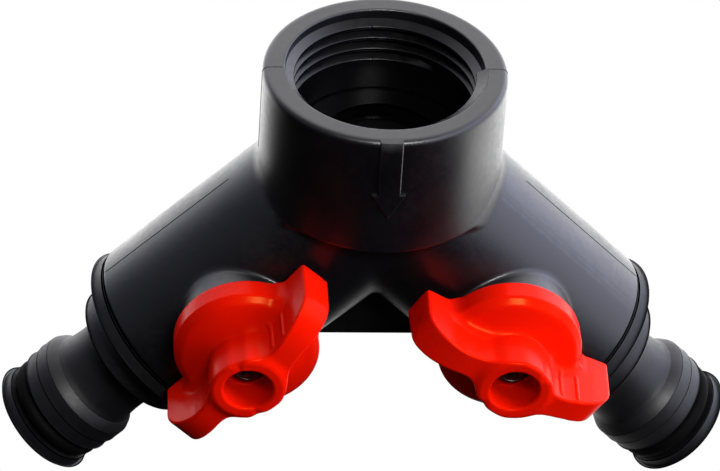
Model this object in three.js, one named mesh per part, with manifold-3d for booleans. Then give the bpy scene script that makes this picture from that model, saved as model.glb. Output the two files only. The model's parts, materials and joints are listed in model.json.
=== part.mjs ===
// Hose splitter for a garden tap: threaded inlet, two quarter-turn ball valves, two quick-connect outlets.
// Millimetres, +Z up out of the inlet, -Y towards the knobs. The origin is the middle of the web's foot.
import * as THREE from "three";
import { mergeVertices } from "three/addons/utils/BufferGeometryUtils.js";
import Module from "manifold-3d";

const wasm = await Module();
wasm.setup();

// Driving dimensions
const THREAD_MAJOR_R = 13.22; // G 3/4 pipe thread
const THREAD_MINOR_R = 12.06;
const THREAD_PITCH = 1.814;
const LIP_R = 7.95; // standard quick-connect plug, 15.9 across
const ARM_R = 13;
const ARM_TILT = THREE.MathUtils.degToRad(135); // from the inlet axis to each outlet axis
const ARM_END = 39.6; // along the arm, from the point where the three axes meet
const VALVE_AT = 25.1;
const KNOB_R = 9.8;
const RIGHT_VALVE_TURN = THREE.MathUtils.degToRad(10.6); // the right valve stands a little turned at rest

// Clearances
const RUNNING_GAP = 0.1;
const SEAT_GAP = 0.05;

// Inlet collar, heights from the point where the axes meet
const COLLAR = { bottom: -1.3, top: 17, bottomR: 16.45, topR: 16.25, edge: 0.7 };
const SOCKET_FLOOR = 2.6;
const GASKET_TOP = 5;
const THREAD_START = 10.25; // height of the lowest groove
const THREAD_END = 14;
const THREAD_GROOVE = { rootHalf: 0.14, mouthHalf: 0.72 };
const SOCKET_MOUTH = { from: 14.95, to: 15.6 }; // the slope that leads into the thread
const INLET_BORE_R = 7.3;
const ARROW = { height: 0.35, top: 17.5, barbs: 8.5, tip: 4.8, shaftHalf: 1.5, barbHalf: 2.25 };

// Web between the arms
const WEB_DEPTH = 28; // from the point where the axes meet down to the web's bottom face
const WEB_HALF_WIDTH = 11.1;
const WEB_THICKNESS = 3;

// Valve cavity and ball
const BALL_R = 7.4;
const BALL_BORE_R = 4.3;
const BALL_FLAT = 6.5;
const BALL_SLOT = { width: 2.8, floor: 5.2 };
const CHAMBER_R = 7.7;
const SEAT_INNER_R = 4.6;
const SEAT_FRONT = 5.25;
const SEAT_BACK = 8.2;
const CHAMBER_HALF = SEAT_BACK + SEAT_GAP;
const WATERWAY_R = 4.8;
const SPIGOT_BORE_R = 10.4;

// Stem, heights in front of the arm's axis
const BOSS = { r: 8.9, front: 13.5 };
const STEM_R = 3.9;
const STEM_FLANGE = { r: 4.7, inner: 6.8, outer: 8.2 };
const WASHER = { innerR: 4.1, outerR: 5.27, thickness: 0.5 };
const WASHER_POCKET = 8.8;
const STEM_SHOULDER = 13.8;
const STEM_SQUARE = 4.6;
const STEM_END = 18.9;
const STEM_GROOVE_R = 2.7;
const STEM_RING = { r: 3.38, section: 0.57, places: { inner: 10, outer: 12.1 } };
const GROOVE_SLACK = 0.15;
const BLADE = { width: 2.6, length: 6.4, tip: 5.3 };
const PILOT_DEPTH = 7;

// Knob, heights in front of the arm's axis
const KNOB_BACK = 13.9;
const KNOB_FRONT = 24.8;
const KNOB_HOLE = { r: 3.25, floor: 20.3 };
const KNOB_SOCKET = { side: 4.8, floor: 19 };
const SCREW_CLEARANCE_R = 1.3;
const SCREW = { shankR: 1.15, headR: 2.6, headHeight: 1.5, recessR: 1.1, recessDepth: 0.8, tipAt: 13 };

// Outlet nipple, distances along the arm
const SPIGOT_R = 10.25;
const SPIGOT_START = 33.6;
const NOSE_R = 7.4;
const FLANGE = { from: 40.1, to: 42.03, r: 13.05 };
const STEP = { to: 46.5, r: 9.75 };
const NECK = [[7.8, 46.6], [7.1, 47.8], [6.75, 49.5], [6.7, 51.2], [6.85, 53], [7.15, 54]]; // [radius, distance]
const RIDGE = { from: 55.5, to: 57.5, r: 8.2 };
const SHOULDER_END = 59.84;
const LIP_START = 62.95;
const TIP = 65;
const NIPPLE_BORE_R = 4.2;
const SPIGOT_RING = { at: 36.3, r: 9.58, section: 0.75, grooveR: 8.7 };
const TIP_RING = { at: 61.3, r: 6.75, section: 1.1, grooveR: 5.5 };
const JOINT_SEAL = { innerR: 10.6, outerR: 12.6 };

// Facets round a circle
const FACETS = { shell: 48, bore: 32, small: 24, ring: 24, section: 6 };
const MERGE_TOLERANCE = 1e-4;

const plastic = { color: 0x2b2d31, roughness: 0.5, metalness: 0 };
const seal = { color: 0x0c0c0d, roughness: 0.7, metalness: 0 };
const seatPlastic = { color: 0xe6e6e0, roughness: 0.4, metalness: 0 };
const red = { color: 0xe01a0c, roughness: 0.3, metalness: 0 };
const acetal = { color: 0xd9d9d4, roughness: 0.35, metalness: 0 };
const steel = { color: 0xb9bbbf, roughness: 0.3, metalness: 1 };

// A closed three.js geometry as a manifold-3d solid.
function solidOf(geometry) {
  const bare = geometry.clone();
  bare.deleteAttribute("normal");
  bare.deleteAttribute("uv");
  const merged = mergeVertices(bare, MERGE_TOLERANCE);
  return new wasm.Manifold(
    new wasm.Mesh({
      numProp: 3,
      vertProperties: merged.attributes.position.array,
      triVerts: new Uint32Array(merged.index.array),
    }),
  );
}

// A manifold-3d solid as a three.js geometry.
function geometryOf(shape) {
  const { vertProperties, triVerts } = shape.getMesh();
  const geometry = new THREE.BufferGeometry();
  geometry.setAttribute("position", new THREE.BufferAttribute(vertProperties, 3));
  geometry.setIndex(new THREE.BufferAttribute(triVerts, 1));
  geometry.computeVertexNormals();
  return geometry;
}

// A solid turned about +Z from [radius, height] points that go up the outside.
function turned(points, facets) {
  const profile = points.map(([radius, height]) => new THREE.Vector2(radius, height));
  return solidOf(new THREE.LatheGeometry(profile, facets).rotateX(Math.PI / 2));
}

function cylinder(radius, from, to, facets) {
  return turned([[0, from], [radius, from], [radius, to], [0, to]], facets);
}

// A ring whose profile is a closed loop of [radius, height] points.
function turnedRing(points, facets) {
  return turned([...points, points[0]], facets);
}

// An O-ring of round section about +Z.
function oRing({ r, section }, at) {
  const geometry = new THREE.TorusGeometry(r, section, FACETS.section, FACETS.ring);
  return solidOf(geometry.translate(0, 0, at));
}

// A box given by its size in x and y and its span in z.
function block(width, depth, from, to) {
  const geometry = new THREE.BoxGeometry(width, depth, to - from);
  return solidOf(geometry.translate(0, 0, (from + to) / 2));
}

// An outline in x and y, raised from one height to another.
function raised(outline, from, to) {
  const shape = new THREE.Shape(outline.map(([x, y]) => new THREE.Vector2(x, y)));
  const geometry = new THREE.ExtrudeGeometry(shape, { depth: to - from, bevelEnabled: false });
  return solidOf(geometry.translate(0, 0, from));
}

function named(name, shape, finish) {
  const mesh = new THREE.Mesh(geometryOf(shape), new THREE.MeshStandardMaterial(finish));
  mesh.name = name;
  return mesh;
}

// +Z along an outlet arm: side is -1 on the left and 1 on the right.
function armFrame(side) {
  const group = new THREE.Group();
  group.rotation.y = side * ARM_TILT;
  group.updateMatrixWorld();
  return group;
}

// +Z forwards along a valve's stem, +X outwards along its arm, then turned about the stem.
function valveFrame(side, turn) {
  const arm = new THREE.Vector3(side * Math.sin(ARM_TILT), 0, Math.cos(ARM_TILT));
  const group = new THREE.Group();
  group.position.copy(arm).multiplyScalar(VALVE_AT);
  group.rotation.set(Math.PI / 2, 0, Math.atan2(arm.z, arm.x) + turn);
  group.updateMatrixWorld();
  return group;
}

const placed = (shape, frame) => shape.transform(frame.matrixWorld.elements);

// The socket wall's thread as rings, one groove to each pitch, from the bottom up.
function threadProfile() {
  const { rootHalf, mouthHalf } = THREAD_GROOVE;
  const points = [];
  for (let height = THREAD_START; height < THREAD_END; height += THREAD_PITCH) {
    points.push(
      [THREAD_MINOR_R, height - mouthHalf],
      [THREAD_MAJOR_R, height - rootHalf],
      [THREAD_MAJOR_R, height + rootHalf],
      [THREAD_MINOR_R, height + mouthHalf],
    );
  }
  return points;
}

// The collar's outside, with a rounded top edge, grown outwards by a margin.
function collarSolid(margin) {
  const { bottom, top, bottomR, topR, edge } = COLLAR;
  const round = [0, 0.5, 1].map((share) => [
    topR + margin - edge * (1 - Math.cos((share * Math.PI) / 2)),
    top - edge * (1 - Math.sin((share * Math.PI) / 2)),
  ]);
  return turned([[0, bottom], [bottomR + margin, bottom], ...round, [0, top]], FACETS.shell);
}

// What the inlet socket takes out of the collar.
function socketCut() {
  const { top } = COLLAR;
  const above = top + 1;
  const mouthR = THREAD_MAJOR_R - 0.02;
  const bore = turned(
    [
      [0, SOCKET_FLOOR],
      [THREAD_MINOR_R, SOCKET_FLOOR],
      ...threadProfile(),
      [THREAD_MINOR_R, SOCKET_MOUTH.from],
      [mouthR, SOCKET_MOUTH.to],
      [mouthR, above],
      [0, above],
    ],
    FACETS.shell,
  );
  return bore.add(cylinder(INLET_BORE_R, -2, SOCKET_FLOOR + 1, FACETS.bore));
}

// The flow arrow that stands proud of the collar's front.
function arrowSolid() {
  const { height, top, barbs, tip, shaftHalf, barbHalf } = ARROW;
  const outline = [
    [-shaftHalf, top],
    [-shaftHalf, barbs],
    [-barbHalf, barbs],
    [0, tip],
    [barbHalf, barbs],
    [shaftHalf, barbs],
    [shaftHalf, top],
  ];
  const behind = COLLAR.topR - 2;
  const inFront = COLLAR.bottomR + 2;
  return collarSolid(height).intersect(raised(outline, behind, inFront).rotate([90, 0, 0]));
}

// What one arm's cavity takes out: the waterway, the ball's chamber and the nipple's bore.
function armCut() {
  const chamberFrom = VALVE_AT - CHAMBER_HALF;
  const chamberTo = VALVE_AT + CHAMBER_HALF;
  return turned(
    [
      [0, -1],
      [WATERWAY_R, -1],
      [WATERWAY_R, chamberFrom],
      [CHAMBER_R, chamberFrom],
      [CHAMBER_R, chamberTo],
      [SPIGOT_BORE_R, chamberTo],
      [SPIGOT_BORE_R, ARM_END + 1],
      [0, ARM_END + 1],
    ],
    FACETS.shell,
  );
}

// What one stem takes out of its boss.
function stemCut() {
  const pocket = cylinder(WASHER.outerR + RUNNING_GAP, 0, WASHER_POCKET, FACETS.bore);
  return pocket.add(cylinder(STEM_R + RUNNING_GAP, 0, BOSS.front + 1, FACETS.bore));
}

function webSolid() {
  const outline = [
    [-WEB_HALF_WIDTH, -WEB_DEPTH],
    [WEB_HALF_WIDTH, -WEB_DEPTH],
    [0, WEB_HALF_WIDTH - WEB_DEPTH],
  ];
  return raised(outline, -WEB_THICKNESS / 2, WEB_THICKNESS / 2).rotate([90, 0, 0]);
}

function housing() {
  let shell = collarSolid(0).add(arrowSolid()).add(webSolid());
  let cuts = socketCut();
  for (const side of [-1, 1]) {
    const arm = armFrame(side);
    const valve = valveFrame(side, 0);
    shell = shell.add(placed(cylinder(ARM_R, 0, ARM_END, FACETS.shell), arm));
    shell = shell.add(placed(cylinder(BOSS.r, 0, BOSS.front, FACETS.shell), valve));
    cuts = cuts.add(placed(armCut(), arm));
    cuts = cuts.add(placed(stemCut(), valve));
  }
  return named("housing", shell.subtract(cuts), plastic);
}

function inletGasket() {
  const outerR = THREAD_MINOR_R - 0.15;
  const innerR = INLET_BORE_R + 0.2;
  const from = SOCKET_FLOOR;
  const loop = [[innerR, from], [outerR, from], [outerR, GASKET_TOP], [innerR, GASKET_TOP]];
  return named("inlet_gasket", turnedRing(loop, FACETS.shell), seal);
}

function outletNipple(label) {
  const noseFrom = VALVE_AT + SEAT_BACK + SEAT_GAP;
  const spigotGroove = SPIGOT_RING.section + GROOVE_SLACK;
  const shoulderR = LIP_R + 0.05;
  const loop = [
    [NIPPLE_BORE_R, noseFrom],
    [NOSE_R, noseFrom],
    [NOSE_R, SPIGOT_START],
    [SPIGOT_R, SPIGOT_START],
    [SPIGOT_R, SPIGOT_RING.at - spigotGroove],
    [SPIGOT_RING.grooveR, SPIGOT_RING.at - spigotGroove],
    [SPIGOT_RING.grooveR, SPIGOT_RING.at + spigotGroove],
    [SPIGOT_R, SPIGOT_RING.at + spigotGroove],
    [SPIGOT_R, FLANGE.from],
    [FLANGE.r, FLANGE.from],
    [FLANGE.r, FLANGE.to - 0.25],
    [FLANGE.r - 0.25, FLANGE.to],
    [STEP.r, FLANGE.to],
    [STEP.r - 0.1, STEP.to],
    ...NECK,
    [RIDGE.r, RIDGE.from],
    [RIDGE.r, RIDGE.to],
    [shoulderR, RIDGE.to + 0.2],
    [shoulderR, SHOULDER_END],
    [TIP_RING.grooveR, SHOULDER_END],
    [TIP_RING.grooveR, LIP_START],
    [LIP_R, LIP_START],
    [LIP_R, TIP - 0.4],
    [LIP_R - 0.4, TIP],
    [NIPPLE_BORE_R + 0.6, TIP],
    [NIPPLE_BORE_R, TIP - 0.6],
  ];
  return named("outlet_nipple_" + label, turnedRing(loop, FACETS.bore), plastic);
}

// A ball seat: a ring with a cone on the face that meets the ball.
function ballSeat(name, facing) {
  const coneR = 5.45;
  const coneDepth = 0.8;
  const loop = [
    [SEAT_INNER_R, SEAT_FRONT + coneDepth],
    [coneR, SEAT_FRONT],
    [CHAMBER_R - RUNNING_GAP, SEAT_FRONT],
    [CHAMBER_R - RUNNING_GAP, SEAT_BACK],
    [SEAT_INNER_R, SEAT_BACK],
  ];
  const ring = turnedRing(loop, FACETS.bore);
  const mesh = named(name, facing > 0 ? ring : ring.rotate([180, 0, 0]), seatPlastic);
  mesh.position.z = VALVE_AT;
  return mesh;
}

function jointSeal(label) {
  const from = ARM_END + SEAT_GAP;
  const to = FLANGE.from - SEAT_GAP;
  const { innerR, outerR } = JOINT_SEAL;
  const ring = turnedRing([[innerR, from], [outerR, from], [outerR, to], [innerR, to]], FACETS.bore);
  return named("nipple_joint_seal_" + label, ring, seal);
}

// Everything that is fixed in one outlet arm.
function outlet(side, label) {
  const arm = armFrame(side);
  arm.add(outletNipple(label));
  arm.add(jointSeal(label));
  arm.add(named("nipple_spigot_o_ring_" + label, oRing(SPIGOT_RING, SPIGOT_RING.at), seal));
  arm.add(named("coupling_o_ring_" + label, oRing(TIP_RING, TIP_RING.at), seal));
  arm.add(ballSeat("ball_seat_upstream_" + label, -1));
  arm.add(ballSeat("ball_seat_downstream_" + label, 1));
  return arm;
}

// The ball, with its bore along the arm and a slot across it for the stem's blade.
function valveBall(label) {
  const ball = solidOf(new THREE.SphereGeometry(BALL_R, FACETS.small, FACETS.small / 2));
  const bore = cylinder(BALL_BORE_R, -BALL_R - 1, BALL_R + 1, FACETS.small).rotate([0, 90, 0]);
  const flat = block(3 * BALL_R, 3 * BALL_R, BALL_FLAT, BALL_R + 1);
  const slot = block(BALL_SLOT.width, 2 * BALL_R, BALL_SLOT.floor, BALL_R + 1);
  return named("valve_ball_" + label, ball.subtract(bore.add(flat).add(slot)), acetal);
}

function valveStem(label) {
  const half = STEM_RING.section + GROOVE_SLACK;
  const grooves = Object.values(STEM_RING.places).flatMap((at) => [
    [STEM_R, at - half],
    [STEM_GROOVE_R, at - half],
    [STEM_GROOVE_R, at + half],
    [STEM_R, at + half],
  ]);
  const { r, inner, outer } = STEM_FLANGE;
  const flange = [[0, inner], [r, inner], [r, outer], [STEM_R, outer]];
  const shoulder = [[STEM_R, STEM_SHOULDER], [0, STEM_SHOULDER]];
  const shaft = turned([...flange, ...grooves, ...shoulder], FACETS.small);
  const drive = block(STEM_SQUARE, STEM_SQUARE, STEM_SHOULDER - 1, STEM_END);
  const blade = block(BLADE.width, BLADE.length, BLADE.tip, inner + 0.5);
  const pilot = cylinder(SCREW.shankR + SEAT_GAP, STEM_END - PILOT_DEPTH, STEM_END + 1, FACETS.small);
  return named("valve_stem_" + label, shaft.add(drive).add(blade).subtract(pilot), acetal);
}

function thrustWasher(label) {
  const from = STEM_FLANGE.outer + SEAT_GAP;
  const { innerR, outerR, thickness } = WASHER;
  const loop = [[innerR, from], [outerR, from], [outerR, from + thickness], [innerR, from + thickness]];
  return named("stem_thrust_washer_" + label, turnedRing(loop, FACETS.small), seatPlastic);
}

// The knob's disc and hub: a chamfered rim, and a shallow cone up to the small step where the hub starts.
function knobDisc() {
  const profile = [
    [0, KNOB_BACK],
    [KNOB_R - 0.3, KNOB_BACK],
    [KNOB_R, KNOB_BACK + 0.3],
    [KNOB_R, 17],
    [8.9, 17.95],
    [8.5, 18.15],
    [5.1, 19.25],
    [4.9, 19.4],
    [4.65, KNOB_FRONT - 0.5],
    [4.2, KNOB_FRONT],
    [0, KNOB_FRONT],
  ];
  return turned(profile, FACETS.bore);
}

// One finger wing: an S-shaped blade that is thicker at the back and falls away towards its tip.
function knobWing() {
  const outline = [
    [-1, -3.9],
    [1.6, -4.2],
    [3.4, -3.2],
    [5.2, -2.1],
    [9, -1],
    [12.9, -0.8],
    [14.4, -0.7],
    [14.5, 0],
    [14.2, 3.3],
    [13.6, 3.6],
    [9, 2.7],
    [6.2, 2.1],
    [4.6, 2.4],
    [3, 3.6],
  ];
  const wing = raised(outline, KNOB_BACK + 0.3, KNOB_FRONT + 1);
  const tipDrop = [
    [-12, KNOB_BACK],
    [14.7, KNOB_BACK],
    [14.7, 19.6],
    [13.6, 21.6],
    [11.6, 23.2],
    [8.6, 24.1],
    [4, KNOB_FRONT - 0.4],
    [-12, KNOB_FRONT - 0.4],
  ];
  const side = raised(tipDrop, -12, 12).rotate([90, 0, 0]);
  return wing.intersect(side);
}

function knob(label) {
  const wing = knobWing();
  const hole = cylinder(KNOB_HOLE.r, KNOB_HOLE.floor, KNOB_FRONT + 1, FACETS.small);
  const socket = block(KNOB_SOCKET.side, KNOB_SOCKET.side, KNOB_BACK - 1, KNOB_SOCKET.floor);
  const clearance = cylinder(SCREW_CLEARANCE_R, KNOB_BACK, KNOB_FRONT, FACETS.small);
  const body = knobDisc().add(wing).add(wing.rotate([0, 0, 180]));
  return named("knob_" + label, body.subtract(hole).subtract(socket).subtract(clearance), red);
}

// The screw that holds the knob on its stem.
function knobScrew(label) {
  const underHead = KNOB_HOLE.floor + SEAT_GAP;
  const top = underHead + SCREW.headHeight;
  const profile = [
    [0, SCREW.tipAt],
    [0.5, SCREW.tipAt],
    [SCREW.shankR, SCREW.tipAt + 0.8],
    [SCREW.shankR, underHead],
    [SCREW.headR, underHead],
    [SCREW.headR, underHead + 0.7],
    [SCREW.headR - 0.7, top],
    [SCREW.recessR, top],
    [SCREW.recessR, top - SCREW.recessDepth],
    [0, top - SCREW.recessDepth],
  ];
  return named("knob_screw_" + label, turned(profile, FACETS.small), steel);
}

// Everything that turns with one knob.
function valve(side, label, turn) {
  const group = valveFrame(side, turn);
  group.add(valveBall(label));
  group.add(valveStem(label));
  for (const [place, at] of Object.entries(STEM_RING.places)) {
    group.add(named("stem_o_ring_" + place + "_" + label, oRing(STEM_RING, at), seal));
  }
  group.add(knob(label));
  group.add(knobScrew(label));
  return group;
}

const splitter = new THREE.Group();
const body = new THREE.Group();
body.position.z = WEB_DEPTH;
splitter.add(body);
body.add(housing());
body.add(inletGasket());
for (const [side, label, turn] of [[-1, "left", 0], [1, "right", RIGHT_VALVE_TURN]]) {
  body.add(outlet(side, label));
  body.add(valve(side, label, turn));
  const washerFrame = valveFrame(side, 0);
  washerFrame.add(thrustWasher(label));
  body.add(washerFrame);
}

export default splitter;
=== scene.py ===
"""Looks of the hose splitter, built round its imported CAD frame. Shapes are written in millimetres from the point
where the three axes meet (the valves: from the arm's axis, forwards along the stem), and placed in metres."""

import json
import math
from itertools import product

import bpy
import numpy as np
from mathutils import Matrix, Vector


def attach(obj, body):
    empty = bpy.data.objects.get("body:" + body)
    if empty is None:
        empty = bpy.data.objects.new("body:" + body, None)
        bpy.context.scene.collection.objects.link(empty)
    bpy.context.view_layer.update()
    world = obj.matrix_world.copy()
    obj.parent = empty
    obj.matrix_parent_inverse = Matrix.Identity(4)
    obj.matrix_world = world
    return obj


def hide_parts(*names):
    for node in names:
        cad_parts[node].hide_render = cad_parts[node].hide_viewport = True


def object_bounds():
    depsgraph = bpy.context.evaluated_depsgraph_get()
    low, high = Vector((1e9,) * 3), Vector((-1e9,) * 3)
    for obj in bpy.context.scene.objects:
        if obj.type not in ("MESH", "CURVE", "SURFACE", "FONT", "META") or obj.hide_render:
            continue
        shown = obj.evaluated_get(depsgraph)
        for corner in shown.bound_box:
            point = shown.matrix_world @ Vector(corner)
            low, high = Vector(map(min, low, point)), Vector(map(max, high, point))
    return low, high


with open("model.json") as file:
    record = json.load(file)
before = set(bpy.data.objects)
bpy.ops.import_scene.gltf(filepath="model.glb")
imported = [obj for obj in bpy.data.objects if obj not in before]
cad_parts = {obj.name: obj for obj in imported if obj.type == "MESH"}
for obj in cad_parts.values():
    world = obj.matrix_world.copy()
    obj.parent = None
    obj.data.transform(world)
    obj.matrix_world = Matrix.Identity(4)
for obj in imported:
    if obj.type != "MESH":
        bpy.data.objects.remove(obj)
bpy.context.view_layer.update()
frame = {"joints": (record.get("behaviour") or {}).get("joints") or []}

MM = 0.001
JOINTS = {joint["name"]: joint for joint in frame["joints"]}
VALVE_POINT = Vector(JOINTS["right_valve_turn"]["pos_m"])
MEET = Vector((0, 0, VALVE_POINT.z + VALVE_POINT.x))  # the arms fall at 45 degrees from here
VALVE_AT = VALVE_POINT.x * math.sqrt(2) / MM
RIGHT_TURN = math.radians(-JOINTS["right_valve_turn"]["range_deg"][0])
SIDES = {"left": -1, "right": 1}

# Housing
COLLAR = {"bottom": -1.3, "top": 17.0, "bottom_r": 16.45, "top_r": 16.25}
ARM_R = 13.0
ARM_END = 39.6
BOSS = {"r": 8.9, "front": 13.5}
WEB = {"half": 1.5, "foot": -28.0, "apex": -16.9}
THREAD = {"major": 13.22, "minor": 12.06, "pitch": 1.814, "lowest": 10.25, "root": 0.14, "mouth": 0.72}
SOCKET = {"floor": 2.6, "slope_from": 14.95, "slope_to": 15.6, "plain_above": 14.2, "bore": 8.0}
ARROW = {"height": 0.35, "barbs": 8.5, "tip": 4.8, "shaft": 1.5, "barb": 2.25, "bevel": 0.12}

# Valve
CHAMBER = {"r": 7.7, "half": 8.25, "waterway": 4.8, "spigot": 10.4}
STEM_BORE = 4.0
WASHER_POCKET = {"r": 5.37, "front": 8.8}
BALL = {"r": 7.4, "bore_r": 4.3, "flat": 6.5, "slot_half": 1.4, "slot_floor": 5.2}
STEM = {"r": 3.9, "from": 6.8, "to": 13.8, "groove_r": 2.7, "groove_half": 0.72, "flange_r": 4.7, "flange_to": 8.2,
        "tapped_r": 1.2, "tapped_from": 11.9}
STEM_RINGS = {"inner": 10.0, "outer": 12.1}  # distance of each O-ring from the arm's axis
KNOB = {"front": 24.8, "hole_r": 3.25, "hole_floor": 20.3, "square_half": 2.4, "square_to": 19, "screw_way": 1.3}
SCREW = {"head_r": 2.6, "dome_r": 4.4, "dome_rise": 1.2, "recess_r": 1.5, "recess_floor": 0.8, "cross_half": 0.3,
         "cross_reach": 1.15, "cross_floor": 0.4, "thread_r": 1.15, "thread_depth": 0.22, "pitch": 0.8, "tip": 13.0}

# Seals and seats
GASKET = {"inner": 7.5, "outer": 11.85, "top": 5.0}
JOINT_SEAL = {"inner": 10.6, "outer": 12.1, "from": 39.65, "to": 40.05}
SEAT = {"inner": 4.6, "cone": 5.45, "outer": 7.6, "front": 5.25, "back": 8.2, "lip": 6.05}
WASHER = {"inner": 4.1, "outer": 5.27, "from": 8.25, "to": 8.75}
TIP_RING = {"at": 61.3, "r": 6.75, "section": 1.1}
SPIGOT_RING = {"at": 36.3, "r": 9.58, "section": 0.75}
STEM_RING = {"r": 3.38, "section": 0.57}


# ---- shapes as distances: negative inside, in millimetres --------------------------------------------------

def blend_min(a, b, size):
    """The nearer of two distances, with a fillet of about this size where they meet."""
    reach = np.maximum(size - np.abs(a - b), 0)
    return np.minimum(a, b) - reach * reach / (4 * size)


def blend_max(a, b, size):
    """The farther of two distances, with a round of about this size where they meet."""
    return -blend_min(-a, -b, size)


def rod(p, low, high, radius, edge):
    """A cylinder about +Z with rounded rims."""
    side = np.hypot(p[:, 0], p[:, 1]) - radius
    return blend_max(side, np.maximum(low - p[:, 2], p[:, 2] - high), edge)


def slab(p, half_sizes, centre):
    q = np.abs(p - np.array(centre)) - np.array(half_sizes)
    return np.linalg.norm(np.maximum(q, 0), axis=1) + np.minimum(q.max(axis=1), 0)


def outline_distance(x, y, corners):
    """Signed distance to a closed outline of corners that run anticlockwise."""
    best = np.full(len(x), 1e9)
    inside = np.zeros(len(x), bool)
    for (ax, ay), (bx, by) in zip(corners, corners[1:] + corners[:1]):
        ex, ey = bx - ax, by - ay
        along = np.clip(((x - ax) * ex + (y - ay) * ey) / (ex * ex + ey * ey), 0, 1)
        best = np.minimum(best, (x - ax - along * ex) ** 2 + (y - ay - along * ey) ** 2)
        if ay != by:
            crosses = (ay > y) != (by > y)
            inside ^= crosses & (x < ax + (y - ay) * ex / ey)
    return np.where(inside, -1, 1) * np.sqrt(best)


def segment_distance(p, start, end, radius):
    """A round-ended bar between two points."""
    start, end = np.array(start, float), np.array(end, float)
    span = end - start
    along = np.clip((p - start) @ span / (span @ span), 0, 1)
    return np.linalg.norm(p - start - along[:, None] * span, axis=1) - radius


def arm_axis(side):
    """The direction out along an arm."""
    return np.array([side, 0, -1]) / math.sqrt(2)


def along_arm(p, side):
    """Points in an arm's own frame: +Z out along the arm, +X up and outwards."""
    axis = arm_axis(side)
    up = np.array([side, 0, 1]) / math.sqrt(2)
    return np.stack([p @ up, p[:, 1], p @ axis], axis=1)


def along_stem(p, side):
    """Points in a boss's own frame: +Z forwards, from the arm's axis."""
    centre = arm_axis(side) * VALVE_AT
    q = p - centre
    return np.stack([q[:, 0], q[:, 2], -q[:, 1]], axis=1)


def collar_radius(z):
    """The collar tapers a little towards its top."""
    share = (z - COLLAR["bottom"]) / (COLLAR["top"] - COLLAR["bottom"])
    return COLLAR["bottom_r"] + (COLLAR["top_r"] - COLLAR["bottom_r"]) * share


def socket_radius(z):
    """The socket's plain wall. The thread is a lining of its own, in front of it."""
    return np.where(z > SOCKET["plain_above"], THREAD["major"], THREAD["major"] + 0.25)


def housing_distance(p):
    """The housing: collar, arms, bosses and web, less the socket, waterways, ball chambers and stem bores."""
    x, y, z = p.T
    r = np.hypot(x, y)
    collar = blend_max(r - collar_radius(z), z - COLLAR["top"], 0.95)
    collar = blend_max(collar, COLLAR["bottom"] - z, 0.5)
    arms, bosses, cuts = [], [], []
    for side in SIDES.values():
        a = along_arm(p, side)
        arms.append(rod(a, 0, ARM_END, ARM_R, 0.5))
        b = along_stem(p, side)
        bosses.append(rod(b, 0, BOSS["front"], BOSS["r"], 0.4))
        radial = np.hypot(a[:, 0], a[:, 1])
        away = np.abs(a[:, 2] - VALVE_AT) - CHAMBER["half"]
        cuts.append(np.maximum(radial - CHAMBER["waterway"], -1 - a[:, 2]))
        cuts.append(np.maximum(radial - CHAMBER["r"], away))
        cuts.append(np.maximum(radial - CHAMBER["spigot"], VALVE_AT + CHAMBER["half"] - a[:, 2]))
        stem = np.hypot(b[:, 0], b[:, 1])
        cuts.append(np.maximum(stem - STEM_BORE, -b[:, 2]))
        cuts.append(np.maximum(stem - WASHER_POCKET["r"], np.maximum(-b[:, 2], b[:, 2] - WASHER_POCKET["front"])))
    shell = blend_min(arms[0], arms[1], 1.0)
    for boss in bosses:
        shell = blend_min(shell, boss, 0.5)
    web = np.maximum(np.abs(y) - WEB["half"], WEB["foot"] - z)
    web = blend_max(web, (np.abs(x) + z - WEB["apex"]) / math.sqrt(2), 0.4)
    shell = blend_min(shell, web, 0.8)
    shell = blend_min(shell, collar, 0.9)
    cuts.append(np.maximum(r - socket_radius(z), SOCKET["floor"] - z))
    cuts.append(np.maximum(r - SOCKET["bore"], -2 - z))
    hollow = cuts[0]
    for cut in cuts[1:]:
        hollow = np.minimum(hollow, cut)
    return blend_max(shell, -hollow, 0.3)


def softened(corners, reach):
    """An outline with its corners cut twice, which leaves small rounds of about this reach."""
    for size in (reach, reach * 0.35):
        out = []
        for a, b in zip(corners, corners[1:] + corners[:1]):
            a, b = np.array(a, float), np.array(b, float)
            cut = min(0.27, size / np.linalg.norm(b - a))
            out += [tuple(a + (b - a) * cut), tuple(b - (b - a) * cut)]
        corners = out
    return corners


DISC_PROFILE = softened([
    (-4, 13.9), (9.5, 13.9), (9.8, 14.2), (9.8, 17.02), (8.92, 17.93), (8.5, 18.15), (5.12, 19.27), (4.9, 19.36),
    (4.65, 24.8), (-4, 24.8),
], 0.16)
WING_OUTLINE = softened([
    (-1, -3.9), (1.6, -4.2), (3.4, -3.2), (5.2, -2.1), (7.0, -1.45), (9, -1), (12.9, -0.8), (14.3, -0.75),
    (14.5, 0), (14.25, 3.3), (14.0, 3.6), (11.5, 3.25), (9, 2.7), (7.4, 2.25), (6.2, 2.1), (4.6, 2.4), (3, 3.6),
], 0.3)
WING_SIDE = softened([
    (-12, 14.2), (14.7, 14.2), (14.7, 19.2), (14.2, 20.4), (13.6, 21.5), (12.7, 22.5), (11.6, 23.2),
    (10.2, 23.8), (8.6, 24.2), (6.4, 24.45), (4, 24.6), (-12, 24.6),
], 0.4)
RIBS = [(6.55, 2.18), (8.95, 2.72)]
DRAFT = 0.055  # the ribbed face leans out towards the back by this much a millimetre


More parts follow.
